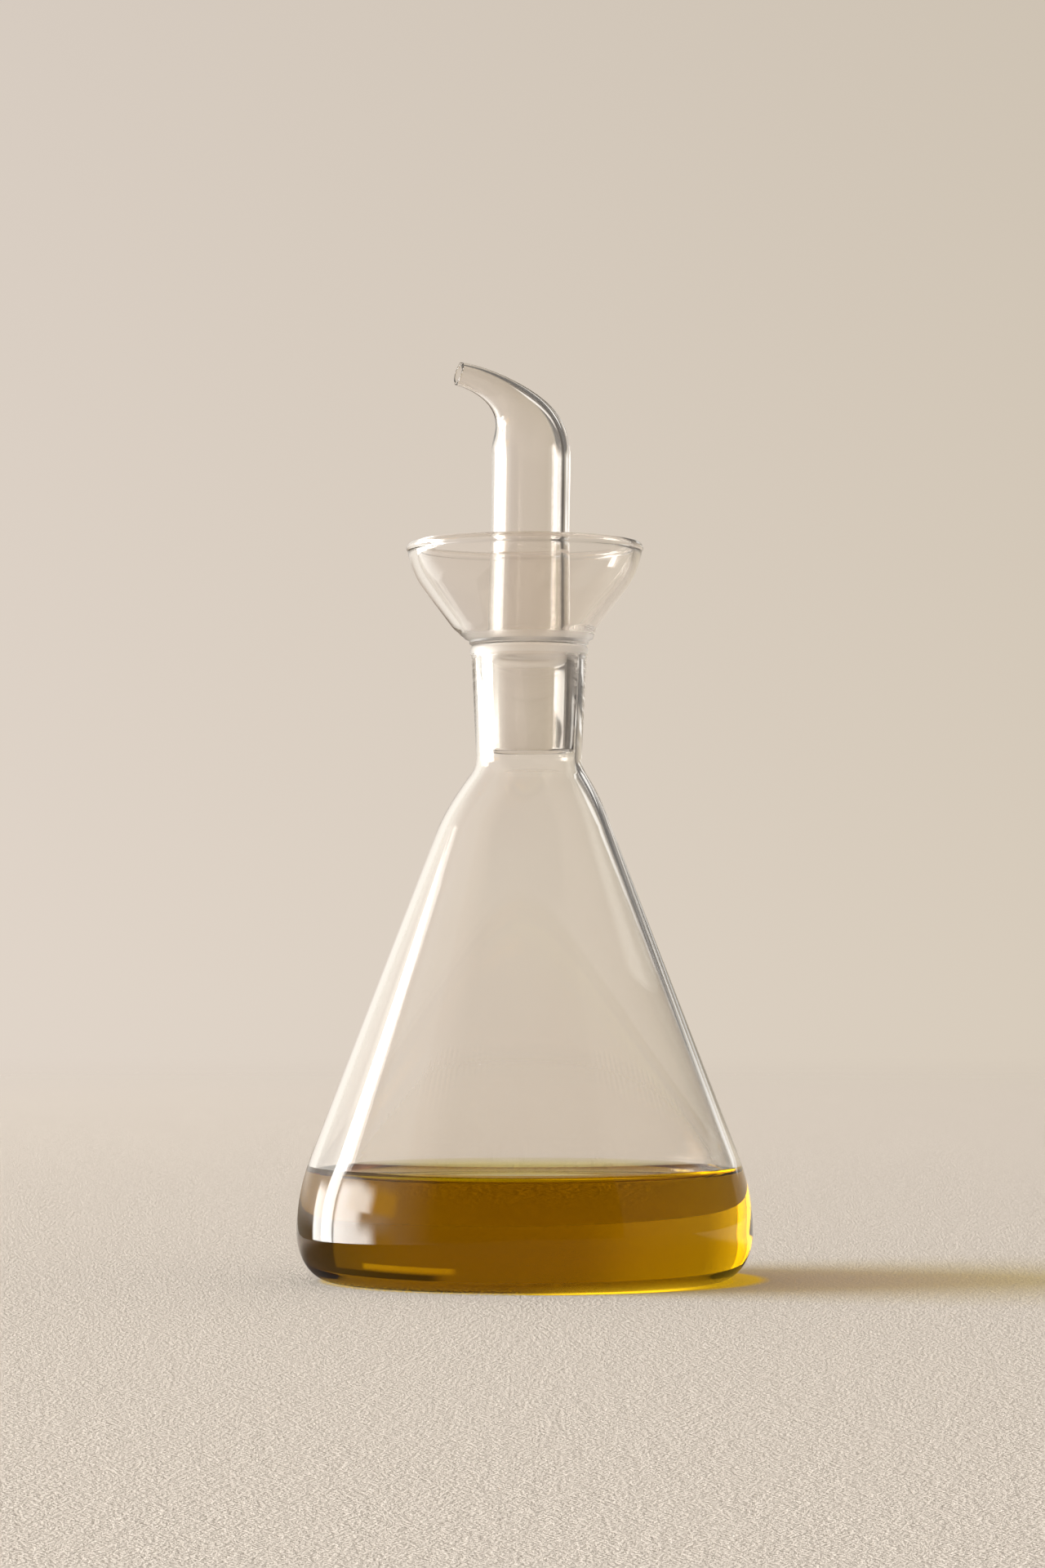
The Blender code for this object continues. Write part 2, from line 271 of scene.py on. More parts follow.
@dataclass
class Flask:
    """Blown flask: flat base, round heel, cone, short shoulder, tapered neck and low lip."""

    body_radius: float = 0.0425
    widest_height: float = 0.0090
    base_radius: float = 0.0356
    heel_arc: float = 0.0388
    cone_angle: float = 21.1
    shoulder_height: float = 0.084
    shoulder_arc: float = 0.048
    shoulder_angle: float = 35.0
    neck_fillet: float = 0.0055
    neck_taper: float = 0.05
    neck_top: float = 0.1159
    lip_proud: float = 0.00022
    lip_top: float = 0.1183
    lip_round: float = 0.0006
    lip_full: float = 0.0007     # above neck_top, where the lip stands out fully
    lip_half: float = 0.0003     # above neck_top, where it stands out half as far
    neck_offset: float = 0.00085
    offset_low: float = 0.082
    offset_high: float = 0.097
    walls: tuple[Point, ...] = ((0.0, 0.0024), (0.0075, 0.0016), (0.0250, 0.0015),
                                (0.0840, 0.0014), (0.0970, 0.00125), (0.1200, 0.00125))
    heel_steps: int = 28
    arc_steps: int = 18
    lip_steps: int = 6
    pole_radius: float = 0.0006

    def outer_line(self) -> list[Point]:
        """Outside of the flask from the edge of its base up to the neck's top.

        Returns:
            Points of (radius, height).
        """
        heel = []
        for index in range(self.heel_steps):
            angle = math.radians(90.0 * index / self.heel_steps)
            bulge = (self.body_radius - self.base_radius) * math.sin(angle)
            heel.append((self.base_radius + bulge,
                         self.widest_height * (1.0 - math.cos(angle))))

        body_centre = (self.body_radius - self.heel_arc, self.widest_height)
        body = arc(body_centre, self.heel_arc, 0.0, self.cone_angle, self.arc_steps)

        cone = math.radians(self.cone_angle)
        cone_radius = body[-1][0] - math.tan(cone) * (self.shoulder_height - body[-1][1])
        shoulder_centre = (cone_radius - self.shoulder_arc * math.cos(cone),
                           self.shoulder_height - self.shoulder_arc * math.sin(cone))
        shoulder = arc(shoulder_centre, self.shoulder_arc, self.cone_angle,
                       self.shoulder_angle, self.arc_steps)

        steep = math.radians(self.shoulder_angle)
        fillet_centre = (shoulder[-1][0] + self.neck_fillet * math.cos(steep),
                         shoulder[-1][1] + self.neck_fillet * math.sin(steep))
        taper = math.degrees(math.atan(self.neck_taper))
        fillet = arc(fillet_centre, self.neck_fillet, 180.0 + self.shoulder_angle,
                     180.0 - taper, self.arc_steps)
        neck = (fillet[-1][0] + self.neck_taper * (self.neck_top - fillet[-1][1]),
                self.neck_top)
        return heel + body + shoulder + fillet[1:] + [neck]

    def inner_line(self, clearance: float = 0.0) -> list[Point]:
        """Inside of the flask from the edge of its floor up.

        Args:
            clearance: How far the line is moved in from the glass.

        Returns:
            Points of (radius, height).
        """
        line = [(0.0, 0.0)] + self.outer_line()
        return offset_line(line, lambda height: blend(self.walls, height) + clearance)[1:]

    def axis(self, height: float) -> float:
        """How far the flask's axis has moved towards +X at a height."""
        return self.neck_offset * smoothstep(self.offset_low, self.offset_high, height)

    def joint_radius(self, height: float) -> float:
        """Inner radius of the tapered neck at a height."""
        inside = self.inner_line()
        return inside[-1][0] + self.neck_taper * (height - inside[-1][1])

    def mouth(self) -> list[Point]:
        """Rounded mouth and low lip, from the inside of the neck over to its outside.

        Returns:
            Points of (radius, height).
        """
        top = self.outer_line()[-1]
        lip_radius = top[0] + self.lip_proud
        mouth_radius = self.joint_radius(self.lip_top)
        round_height = self.lip_top - self.lip_round
        inner_round = arc((mouth_radius + self.lip_round, round_height), self.lip_round,
                          180.0, 90.0, self.lip_steps)
        outer_round = arc((lip_radius - self.lip_round, round_height), self.lip_round,
                          90.0, 0.0, self.lip_steps)
        under_lip = [(lip_radius, self.neck_top + self.lip_full),
                     (lip_radius - 0.5 * self.lip_proud, self.neck_top + self.lip_half)]
        return inner_round + outer_round + under_lip

    def rings(self, oil: OilLevel) -> list[Ring]:
        """Rings of the whole glass, up the inside and down the outside.

        Args:
            oil: The oil's level, below which the inside is wetted.

        Returns:
            Rings from the middle of the floor inside to the middle of the base.
        """
        inside = self.inner_line()
        contact = (radius_at(inside, oil.contact), oil.contact)
        below = [point for point in inside if point[1] < oil.contact]
        above = [point for point in inside if point[1] > oil.contact]
        wet = [(self.pole_radius, inside[0][1])] + below + [contact]
        dry = above + self.mouth() + self.outer_line()[::-1] + [(self.pole_radius, 0.0)]
        return ([Ring(self.axis(height), height, radius, wetted=1.0)
                 for radius, height in wet]
                + [Ring(self.axis(height), height, radius) for radius, height in dry])

    def build(self, oil: OilLevel, dry: "BlownGlass", wet: "BlownGlass") -> bpy.types.Object:
        """Make the flask and dress it.

        Args:
            oil: The oil's level.
            dry: Finish of the glass that air touches.
            wet: Finish of the inside that the oil touches.

        Returns:
            The flask's object.
        """
        piece = RingSurface("flask_glass", self.rings(oil)).build()
        piece.data.materials.append(dry.material())
        piece.data.materials.append(wet.material())
        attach(piece, "root")
        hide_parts("flask")
        return piece


@dataclass
class Pourer:
    """One fused glass piece: joint, flange, drip funnel with a beaded rim, and spout."""

    flask: Flask
    joint_bottom: float = 0.0983
    joint_gap: float = 0.0003
    joint_wall: float = 0.0016
    shaft_heights: tuple[float, ...] = (0.103, 0.109, 0.115)
    shaft_end: float = 0.0005        # below the flange
    foot_round: float = 0.0006
    throat_round: float = 0.0004
    flange_radius: float = 0.0112
    flange_bottom: float = 0.1186
    flange_top: float = 0.1194
    flange_round: float = 0.0003
    flange_crease: float = 0.0001    # how far below flange_top its edge ends
    funnel_start: Point = (0.0120, 0.1197)       # radius and height
    funnel_angle: float = 37.0
    funnel_true: float = 0.1218      # height from which it stands on the body's axis
    funnel_straight_top: float = 0.1292
    funnel_arc: float = 0.0147
    funnel_rim_angle: float = 8.0
    funnel_wall: float = 0.0016
    funnel_floor: float = 0.1199
    cup_start: float = 0.0012        # above the floor, where the funnel's inside ends
    cup_corner: float = 0.0009
    cup_corner_inset: float = 0.0011
    bead_radius: float = 0.00098
    root_fillet: float = 0.0008
    root_height: float = 0.004       # above the floor, where the plain tube starts
    bore_draft: float = 0.0004       # how much narrower the joint's bore is at its top
    bore_blend: float = 0.001        # how far the bore blends past floor and flange
    tube_radius_low: float = 0.00765
    tube_radius: float = 0.00737
    tube_wall: float = 0.0015
    tube_waist: float = 0.139
    tube_top_offset: float = 0.0013
    bend_start: float = 0.1534
    bend_handle: float = 0.0138
    spout_reach: float = 0.01456
    spout_tip: float = 0.1690
    spout_rise: float = 14.6
    tip_handle: float = 0.0008
    narrowing_share: float = 0.31
    narrowing_power: float = 2.9
    bend_rings: int = 64
    tip_radius: float = 0.00216
    tip_wall: float = 0.0005
    round_steps: int = 6
    edge_steps: int = 5
    root_steps: int = 8
    tube_steps: int = 12
    funnel_steps: int = 20
    bead_steps: int = 30
    tip_steps: int = 8

    @property
    def waist_offset(self) -> float:
        """How far the tube's axis stands off the body's axis at its waist."""
        return 0.5 * (self.flask.neck_offset + self.tube_top_offset)

    def funnel_axis(self, height: float) -> float:
        """The joint follows the neck, and the funnel is back on the body's axis."""
        back = smoothstep(self.flange_top, self.funnel_true, height)
        return self.flask.neck_offset * (1.0 - back)

    def joint_radius(self, height: float) -> float:
        """Outer radius of the joint, a clearance inside the flask's neck."""
        return self.flask.joint_radius(height) - self.joint_gap

    def level_rings(self, line: Sequence[Point]) -> list[Ring]:
        """Level rings about the funnel's own axis for points of (radius, height)."""
        return [Ring(self.funnel_axis(height), height, radius) for radius, height in line]

    def joint_outside(self) -> list[Point]:
        """Outside of the joint and the underside and edge of the flange.

        Returns:
            Points of (radius, height).
        """
        low, high = self.joint_bottom, self.flange_bottom
        foot = arc((self.joint_radius(low) - self.foot_round, low + self.foot_round),
                   self.foot_round, -90.0, 0.0, self.round_steps)
        shaft = [(self.joint_radius(height), height)
                 for height in (*self.shaft_heights, high - self.shaft_end)]
        throat = arc((self.joint_radius(high) + self.throat_round, high - self.throat_round),
                     self.throat_round, 180.0, 90.0, self.edge_steps)
        edge = arc((self.flange_radius - self.flange_round, high + self.flange_round),
                   self.flange_round, -90.0, 0.0, self.edge_steps)
        crease = (self.flange_radius, self.flange_top - self.flange_crease)
        return foot + shaft + throat + edge + [crease]

    def funnel_outside(self) -> list[Point]:
        """Outside of the drip funnel from the flange up to its rim.

        Returns:
            Points of (radius, height).
        """
        angle = math.radians(self.funnel_angle)
        slope = math.tan(angle)
        start = self.funnel_start
        straight = (start[0] + slope * (self.funnel_straight_top - start[1]),
                    self.funnel_straight_top)
        centre = (straight[0] - self.funnel_arc * math.cos(angle),
                  straight[1] + self.funnel_arc * math.sin(angle))
        curved = arc(centre, self.funnel_arc, -self.funnel_angle, -self.funnel_rim_angle,
                     self.funnel_steps)
        lower = []
        for index in range(self.round_steps):
            height = start[1] + (self.funnel_true - start[1]) * index / self.round_steps
            lower.append((start[0] + slope * (height - start[1]), height))
        true_radius = start[0] + slope * (self.funnel_true - start[1])
        return lower + [(true_radius, self.funnel_true)] + curved

    def bead(self, outside: Sequence[Point], inside: Sequence[Point]) -> list[Point]:
        """Rolled rim, from the funnel's outside over to its inside.

        Args:
            outside: The funnel's outside line, from the bottom up.
            inside: The funnel's inside line, from the bottom up.

        Returns:
            Points of (radius, height).
        """
        edge = (0.5 * (outside[-1][0] + inside[-1][0]), 0.5 * (outside[-1][1] + inside[-1][1]))
        tilt = math.radians(self.funnel_rim_angle)
        half_wall = 0.5 * self.funnel_wall
        rise = math.sqrt(self.bead_radius ** 2 - half_wall ** 2)
        centre = (edge[0] + rise * math.sin(tilt), edge[1] + rise * math.cos(tilt))
        join = math.degrees(math.atan2(rise, half_wall))
        return arc(centre, self.bead_radius, -join - self.funnel_rim_angle,
                   180.0 + join - self.funnel_rim_angle, self.bead_steps)[1:-1]

    def cup_floor(self, inside: Sequence[Point]) -> list[Point]:
        """Floor of the drip cup, from the funnel's inside in to the tube's root.

        Args:
            inside: The funnel's inside line, from the bottom up.

        Returns:
            Points of (radius, height).
        """
        floor = self.funnel_floor
        corner = arc((inside[0][0] - self.cup_corner_inset, floor + self.cup_corner),
                     self.cup_corner, -30.0, -90.0, self.round_steps)
        fillet = arc((self.tube_radius_low + self.root_fillet, floor + self.root_fillet),
                     self.root_fillet, -90.0, -180.0, self.root_steps)
        return corner + fillet

    def drawn_down(self, share: float) -> float:
        """One at the bend's start and zero at the tip, as the tube is drawn down.

        Args:
            share: How far round the bend, from 0 to 1.

        Returns:
            How much of the way from the tip's radius to the tube's is left.
        """
        def fade(value: float) -> float:
            """How much of the full radius is left at a share of the bend."""
            return 1.0 / (1.0 + (value / self.narrowing_share) ** self.narrowing_power)
        return (fade(share) - fade(1.0)) / (1.0 - fade(1.0))

    def bend(self) -> list[tuple[float, float, float, float]]:
        """Stations of the bend: centre along X, height, lean, and how much is drawn down.

        Returns:
            The stations, from the tube to the tip.
        """
        rise = math.radians(self.spout_rise)
        tip = (self.tube_top_offset - self.spout_reach, self.spout_tip)
        corners = (Vector((self.tube_top_offset, self.bend_start)),
                   Vector((self.tube_top_offset, self.bend_start + self.bend_handle)),
                   Vector((tip[0] + self.tip_handle * math.cos(rise),
                           tip[1] - self.tip_handle * math.sin(rise))),
                   Vector(tip))
        stations = []
        for index in range(self.bend_rings + 1):
            share = index / self.bend_rings
            rest = 1.0 - share
            place = (rest ** 3 * corners[0] + 3 * share * rest ** 2 * corners[1]
                     + 3 * share ** 2 * rest * corners[2] + share ** 3 * corners[3])
            heading = (rest ** 2 * (corners[1] - corners[0])
                       + 2 * share * rest * (corners[2] - corners[1])
                       + share ** 2 * (corners[3] - corners[2]))
            lean = math.atan2(-heading[0], heading[1])
            stations.append((place[0], place[1], lean, self.drawn_down(share)))
        return stations

    def spout_radius(self, full: float) -> float:
        """Outer radius where so much is left of the way from the tip's to the tube's."""
        return self.tip_radius + (self.tube_radius - self.tip_radius) * full

    def tube_outside(self) -> list[Ring]:
        """Outside of the tube from above its root to the tip.

        Returns:
            Rings, from the bottom up.
        """
        offset = self.flask.neck_offset
        low = self.funnel_floor + self.root_height
        rings = [Ring(offset, low, self.tube_radius_low)]
        for index in range(1, self.tube_steps + 1):
            share = index / self.tube_steps
            rings.append(Ring(offset + (self.waist_offset - offset) * share,
                              low + (self.tube_waist - low) * share,
                              self.tube_radius_low + (self.tube_radius - self.tube_radius_low)
                              * smoothstep(0.0, 1.0, share)))
        rings.append(Ring(0.5 * (self.waist_offset + self.tube_top_offset),
                          0.5 * (self.tube_waist + self.bend_start), self.tube_radius))
        for along, height, lean, full in self.bend()[:-1]:
            rings.append(Ring(along, height, self.spout_radius(full), lean))
        return rings

    def tip(self) -> list[Ring]:
        """Fire-polished edge of the spout's mouth, from its outside to its inside.

        Returns:
            Rings of the edge.
        """
        along, height, lean, _ = self.bend()[-1]
        edge = 0.5 * self.tip_wall
        middle = self.tip_radius - edge
        rings = []
        for index in range(self.tip_steps + 1):
            angle = math.pi * index / self.tip_steps
            reach = edge * (math.sin(angle) - 1.0)
            rings.append(Ring(along - reach * math.sin(lean), height + reach * math.cos(lean),
                              middle + edge * math.cos(angle), lean))
        return rings

    def bore(self) -> list[Ring]:
        """Inside of the tube and joint, from the spout's mouth down to the joint's foot.

        Returns:
            Rings, from the top down.
        """
        rings = []
        for along, height, lean, full in self.bend()[-2::-1]:
            wall = self.tip_wall + (self.tube_wall - self.tip_wall) * full
            rings.append(Ring(along, height, self.spout_radius(full) - wall, lean))
        offset = self.flask.neck_offset
        rings.append(Ring(self.waist_offset, self.tube_waist,
                          self.tube_radius - self.tube_wall))
        low_bore = self.tube_radius_low - self.tube_wall
        joint_high = (self.joint_radius(self.flange_bottom) - self.joint_wall
                      - self.bore_draft)
        joint_low = self.joint_radius(self.joint_bottom) - self.joint_wall
        top = self.funnel_floor + self.bore_blend
        bottom = self.flange_bottom - self.bore_blend
        rings.append(Ring(offset, top + self.root_height, low_bore))
        for index in range(self.tube_steps + 1):
            share = index / self.tube_steps
            rings.append(Ring(offset, top + (bottom - top) * share,
                              low_bore + (joint_high - low_bore) * smoothstep(0.0, 1.0, share)))
        foot = arc((joint_low + self.foot_round, self.joint_bottom + self.foot_round),
                   self.foot_round, 180.0, 270.0, self.round_steps)
        rings.extend(Ring(offset, height, radius) for radius, height in foot)
        return rings

    def rings(self) -> list[Ring]:
        """Rings all the way round: up the outside, over the spout and down the bore.

        Returns:
            Rings in order, the last of which joins the first.
        """
        outside = self.funnel_outside()
        inside = offset_line(outside, lambda height: self.funnel_wall)
        cup = [point for point in inside[::-1]
               if point[1] > self.funnel_floor + self.cup_start]
        rings = self.level_rings(self.joint_outside() + outside
                                 + self.bead(outside, inside) + cup + self.cup_floor(inside))
        shift = self.flask.neck_offset - rings[-1].along
        first = len(rings) - (self.root_steps + 1)
        for index in range(first, len(rings)):
            share = (index - first) / (len(rings) - 1 - first)
            ring = rings[index]
            rings[index] = Ring(ring.along + shift * share, ring.height, ring.radius)
        return rings + self.tube_outside() + self.tip() + self.bore()

    def build(self, finish: "BlownGlass") -> bpy.types.Object:
        """Make the pourer and dress it.

        Args:
            finish: Finish of its glass.

        Returns:
            The pourer's object.
        """
        piece = RingSurface("pourer_glass", self.rings(), joined=True).build()
        piece.data.materials.append(finish.material())
        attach(piece, "root")
        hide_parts("pourer")
        return piece


@dataclass
class OilFill:
    """The oil, which reaches just into the glass so that no air gap shows."""

    flask: Flask
    level: OilLevel
    reach: float = 0.0002
    contact_gap: float = 0.0003      # under the contact line, where the side starts
    pole_radius: float = 0.001

    def rings(self) -> list[Ring]:
        """Rings from the middle of the surface out, and down the side to the floor.

        Returns:
            Rings from the middle of the surface to the middle of the floor.
        """
        contact_height = self.level.contact
        contact = radius_at(self.flask.inner_line(), contact_height)
        rings = [Ring(0.0, self.level.level, self.pole_radius)]
        for way, height in self.level.meniscus()[::-1]:
            rings.append(Ring(0.0, height, contact - way))
        side = self.flask.inner_line(-self.reach)
        rings.append(Ring(0.0, contact_height, radius_at(side, contact_height), wetted=1.0))
        for radius, height in side[::-1]:
            if height < contact_height - self.contact_gap:
                rings.append(Ring(0.0, height, radius, wetted=1.0))
        rings.append(Ring(0.0, side[0][1], self.pole_radius, wetted=1.0))
        return rings

    def build(self, finish: "OliveOil") -> bpy.types.Object:
        """Make the oil and dress it.

        Args:
            finish: Finish of the oil.

        Returns:
            The oil's object.
        """
        piece = RingSurface("oil_fill", self.rings()).build()
        for face in piece.data.polygons:
            face.material_index = 0
        piece.data.materials.append(finish.material())
        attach(piece, "root")
        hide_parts("oil")
        return piece


class Tree:
    """A node tree with short ways to add, set and join nodes."""

    def __init__(self, tree: bpy.types.NodeTree) -> None:
        """Keep the tree that is being filled."""
        self.tree = tree

    def add(self, kind: str, **settings: object) -> bpy.types.Node:
        """Add a node and set its own properties.

        Args:
            kind: Blender's name for the node type.
            settings: Properties to set on it.

        Returns:
            The new node.
        """
        node = self.tree.nodes.new(kind)
        for name, value in settings.items():
            setattr(node, name, value)
        return node

    def put(self, value: object, socket: bpy.types.NodeSocket) -> None:
        """Join an output to an input, or set a plain value on the input.

        Args:
            value: An output socket, a number or a tuple.
            socket: The input that takes it.
        """
        if isinstance(value, bpy.types.NodeSocket):
            self.tree.links.new(value, socket)
        elif isinstance(value, tuple) and len(value) == 3 and socket.type == "RGBA":
            socket.default_value = (*value, 1.0)
        else:
            socket.default_value = value

    def fill(self, node: bpy.types.Node, **values: object) -> bpy.types.Node:
        """Put values on a node's inputs.

        Args:
            node: The node.
            values: Its inputs by name, with _ for a space.

        Returns:
            The same node.
        """
        for name, value in values.items():
            self.put(value, node.inputs[name.replace("_", " ")])
        return node

    def place(self) -> bpy.types.NodeSocket:
        """Place in the object's own metres."""
        return self.add("ShaderNodeTexCoord").outputs["Object"]

    def split(self, vector: bpy.types.NodeSocket) -> list[bpy.types.NodeSocket]:
        """Split a vector into its three parts."""
        node = self.add("ShaderNodeSeparateXYZ")
        return list(self.fill(node, Vector=vector).outputs)

    def turned(self, vector: bpy.types.NodeSocket, degrees: float) -> bpy.types.NodeSocket:
        """Turn a vector about Z by so many degrees."""
        node = self.add("ShaderNodeVectorRotate", rotation_type="Z_AXIS")
        return self.fill(node, Vector=vector, Angle=math.radians(degrees)).outputs[0]

    def math(self, operation: str, *values: object, clamp: bool = False) -> bpy.types.NodeSocket:
        """Add a Math node.

        Args:
            operation: Blender's name for the operation.
            values: Its inputs, sockets or numbers.
            clamp: Whether the result is kept from 0 to 1.

        Returns:
            Its output.
        """
        node = self.add("ShaderNodeMath", operation=operation, use_clamp=clamp)
        for index, value in enumerate(values):
            self.put(value, node.inputs[index])
        return node.outputs[0]

    def ramp(self, value: object, low: object, high: object, start: object = 0.0,
             end: object = 1.0, smooth: bool = True) -> bpy.types.NodeSocket:
        """Map a value from low..high to start..end, clamped.

        Args:
            value: What is mapped.
            low: Value that gives start.
            high: Value that gives end.
            start: Result at low.
            end: Result at high.
            smooth: Whether the step is smooth.

        Returns:
            The mapped value.
        """
        kind = "SMOOTHSTEP" if smooth else "LINEAR"
        node = self.add("ShaderNodeMapRange", interpolation_type=kind, clamp=True)
        self.fill(node, Value=value, From_Min=low, From_Max=high, To_Min=start, To_Max=end)
        return node.outputs["Result"]

    def mix(self, factor: object, first: object, second: object) -> bpy.types.NodeSocket:
        """Mix two colours.

        Args:
            factor: Share of the second colour.
            first: First colour.
            second: Second colour.

        Returns:
            The mixed colour.
        """
        node = self.add("ShaderNodeMix", data_type="RGBA")
        node.clamp_factor = True
        self.put(factor, node.inputs["Factor"])
        self.put(first, node.inputs[6])
        self.put(second, node.inputs[7])
        return node.outputs[2]

    def noise(self, place: object, scale: float, detail: float = 2.0,
              roughness: float = 0.5) -> bpy.types.NodeSocket:
        """Add a Noise texture.

        Args:
            place: Coordinates.
            scale: Features in a metre.
            detail: Octaves.
            roughness: How strong the finer octaves are.

        Returns:
            Its value output.
        """
        node = self.add("ShaderNodeTexNoise")
        self.fill(node, Vector=place, Scale=scale, Detail=detail, Roughness=roughness)
        return node.outputs[0]

    def bump(self, height: object, strength: object = 1.0,
             distance: float = 1.0) -> bpy.types.NodeSocket:
        """Turn a height into a normal.

        Args:
            height: The height.
            strength: How much of it is used.
            distance: Metres that a height of 1 stands for.

        Returns:
            The normal.
        """
        node = self.add("ShaderNodeBump")
        return self.fill(node, Height=height, Strength=strength, Distance=distance).outputs[0]

    def choose(self, share: object, first: bpy.types.NodeSocket,
               second: bpy.types.NodeSocket) -> bpy.types.NodeSocket:
        """Mix two shaders.

        Args:
            share: Share of the second shader.
            first: First shader.
            second: Second shader.

        Returns:
            The mixed shader.
        """
        node = self.add("ShaderNodeMixShader")
        for index, value in enumerate((share, first, second)):
            self.put(value, node.inputs[index])
        return node.outputs[0]

    def pass_lamps(self, shader: bpy.types.NodeSocket,
                   shade: Colour = (1.0, 1.0, 1.0)) -> bpy.types.NodeSocket:
        """Let rays from lamps straight through a clear piece.

        Args:
            shader: What every other ray meets.
            shade: Colour that is left of the lamp's light.

        Returns:
            The shader for both.
        """
        clear = self.add("ShaderNodeBsdfTransparent")
        self.put(shade, clear.inputs["Color"])
        from_lamp = self.add("ShaderNodeLightPath").outputs["Is Shadow Ray"]
        return self.choose(from_lamp, shader, clear.outputs[0])


def start_material(name: str) -> tuple[bpy.types.Material, Tree, bpy.types.Node]:
    """Make a material with nothing but an output.

    Args:
        name: The material's name.

    Returns:
        The material, a Tree on its nodes and its output node.
    """
    material = bpy.data.materials.new(name)
    material.use_nodes = True
    material.node_tree.nodes.clear()
    tree = Tree(material.node_tree)
    return material, tree, tree.add("ShaderNodeOutputMaterial")


def shader_group(name: str, inputs: Sequence[tuple[str, float]], output: str) -> tuple[
        bpy.types.NodeTree, Tree, bpy.types.NodeOutputs, bpy.types.NodeSocket]:
    """Start a shader node group with named number sockets.

    Args:
        name: The group's name.
        inputs: Name and default of each input.
        output: Name of the output.

    Returns:
        The group, a Tree on it, what it is given and the socket that it gives out.
    """
    group = bpy.data.node_groups.new(name, "ShaderNodeTree")
    for label, default in inputs:
        socket = group.interface.new_socket(label, in_out="INPUT", socket_type=NUMBER)
        socket.default_value = default
    group.interface.new_socket(output, in_out="OUTPUT", socket_type=NUMBER)
    tree = Tree(group)
    given = tree.add("NodeGroupInput").outputs
    return group, tree, given, tree.add("NodeGroupOutput").inputs[output]


class DrawnSurface:
    """Group for the slow waves in worked glass, which are drawn out along its length."""

    def __init__(self) -> None:
        """Build the group once."""
        self.group, tree, given, height = shader_group(
            "drawn surface",
            (("Wave Scale", 60.0), ("Wave Height", 0.00002), ("Draw Stretch", 0.3)), "Height")
        along, beside, up = tree.split(tree.place())
        stretched = tree.add("ShaderNodeCombineXYZ")
        tree.fill(stretched, X=along, Y=beside, Z=tree.math("MULTIPLY", up, given["Draw Stretch"]))
        waves = tree.noise(stretched.outputs[0], given["Wave Scale"], 1.0)
        tree.put(tree.math("MULTIPLY", waves, given["Wave Height"]), height)

    def normal(self, tree: Tree, scale: float, height: float) -> bpy.types.NodeSocket:
        """Put the group in a material.

        Args:
            tree: The material's tree.
            scale: Waves in a metre.
            height: Their height.

        Returns:
            The normal of the waved surface.
        """
        node = tree.add("ShaderNodeGroup", node_tree=self.group)
        tree.fill(node, Wave_Scale=scale, Wave_Height=height)
        return tree.bump(node.outputs["Height"])


@dataclass(frozen=True)
class BlownGlass:
    """Clear glass, worked hot, with a finely ground band where the pourer sits."""

    name: str
    surface: DrawnSurface
    tint: Colour = (1.0, 0.990, 0.970)
    deep_tint: Colour = (0.99, 0.975, 0.955)
    depth_scale: float = 40.0
    depth_ends: Point = (0.35, 0.7)      # of the noise, from the tint to the deep tint
    ior: float = 1.47
    wave_scale: float = 45.0
    wave_height: float = 0.000006
    ground: Point = (0.1164, 0.1208)     # heights between which the glass is ground
    ground_edge: float = 0.0006
    ground_roughness: float = 0.42
    shade: Colour = (0.97, 0.965, 0.95)

    def roughness(self, tree: Tree) -> bpy.types.NodeSocket:
        """How rough the glass is: fire polished, apart from the ground band.

        Args:
            tree: The material's tree.

        Returns:
            The roughness.
        """
        height = tree.split(tree.place())[2]
        low, high = self.ground
        above = tree.ramp(height, low, low + self.ground_edge)
        below = tree.ramp(height, high - self.ground_edge, high, 1.0, 0.0)
        return tree.math("MULTIPLY", tree.math("MULTIPLY", above, below),
                         self.ground_roughness)

    def material(self) -> bpy.types.Material:
        """Build the material. Rays from lamps pass through it, slightly dimmed.

        Returns:
            The new material.
        """
        material, tree, output = start_material(self.name)
        thick = tree.ramp(tree.noise(tree.place(), self.depth_scale), *self.depth_ends)
        glass = tree.add("ShaderNodeBsdfPrincipled")
        tree.fill(glass, Base_Color=tree.mix(thick, self.tint, self.deep_tint),
                  Roughness=self.roughness(tree), Metallic=0.0, IOR=self.ior,
                  Transmission_Weight=1.0,
                  Normal=self.surface.normal(tree, self.wave_scale, self.wave_height))
        tree.fill(output, Surface=tree.pass_lamps(glass.outputs[0], self.shade))
        return material


